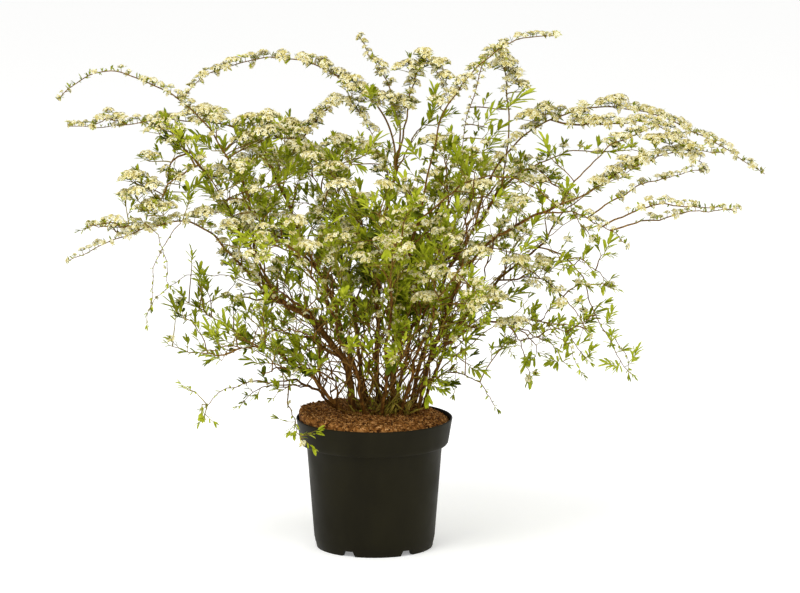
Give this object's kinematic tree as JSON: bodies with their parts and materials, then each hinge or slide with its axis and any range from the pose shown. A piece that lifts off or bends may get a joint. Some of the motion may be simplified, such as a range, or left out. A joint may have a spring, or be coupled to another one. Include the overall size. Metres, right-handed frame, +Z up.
{
  "type": "potted shrub",
  "caption": "Flowering spirea shrub with arching canes, narrow green leaves and clusters of small white blossom, in a round black nursery pot of bark mulch.",
  "frame": {"origin": "middle of the pot's underside, on the ground", "axes": "+Z up, +X to the right as seen from the front, +Y away from the front"},
  "size_m": [1.2784, 0.8806, 0.9563],
  "materials": {
    "pot": "near-black moulded plastic, slightly warm, satin",
    "bark_mulch": "granular reddish-brown bark mulch, rough",
    "bark": "thin reddish-brown bark, rough",
    "blossom": "creamy white petals, matte",
    "foliage": "yellow-green narrow leaves, softly satin"
  },
  "bodies": {
    "root": {"pot": "pot", "soil": "bark_mulch", "cane_left_main": "bark", "cane_left_riser": "bark", "cane_left_back": "bark", "cane_left_low": "bark", "cane_left_lowest": "bark", "cane_centre_tall": "bark", "cane_centre_right": "bark", "cane_right_main": "bark", "cane_right_long": "bark", "cane_right_mid": "bark", "cane_right_low": "bark", "cane_front_left": "bark", "cane_front_mid": "bark", "cane_front_right": "bark", "cane_back_left": "bark", "cane_back_right": "bark", "spray_far_left_arch": "blossom", "spray_left_band": "blossom", "spray_left_hoop": "blossom", "spray_low_left_arch": "blossom", "spray_left_spear": "blossom", "spray_left_bare": "foliage", "spray_left_shelf": "foliage", "spray_left_strings": "foliage", "spray_lowest_arch": "foliage", "spray_rim_sprig": "foliage", "spray_top_spire": "blossom", "spray_top_crown": "blossom", "spray_top_left_arch": "blossom", "spray_top_right_tuft": "foliage", "spray_upper_right_arch": "blossom", "spray_right_hairpin": "blossom", "spray_right_long_arch": "blossom", "spray_dark_arch": "foliage", "spray_right_fork_up": "blossom", "spray_right_heavy": "blossom", "spray_right_outrunner": "blossom", "spray_right_mid_spray": "blossom", "spray_right_droop": "foliage", "spray_right_curtain": "foliage", "spray_right_strings": "foliage", "spray_right_lowest": "foliage", "spray_right_shelf": "blossom", "spray_front_left_spray": "blossom", "spray_front_left_tuft": "foliage", "spray_front_mid_spray": "blossom", "spray_front_mid_tuft": "foliage", "spray_front_right_spray": "blossom", "spray_front_right_tuft": "foliage", "spray_back_left_spray": "blossom", "spray_back_left_top": "blossom", "spray_back_right_spray": "blossom", "spray_back_right_low": "blossom", "spray_left_back_tuft": "foliage", "spray_left_main_tuft": "foliage", "spray_centre_tuft": "foliage", "spray_centre_right_tuft": "foliage", "spray_right_main_tuft": "foliage"}
  },
  "joints": []
}
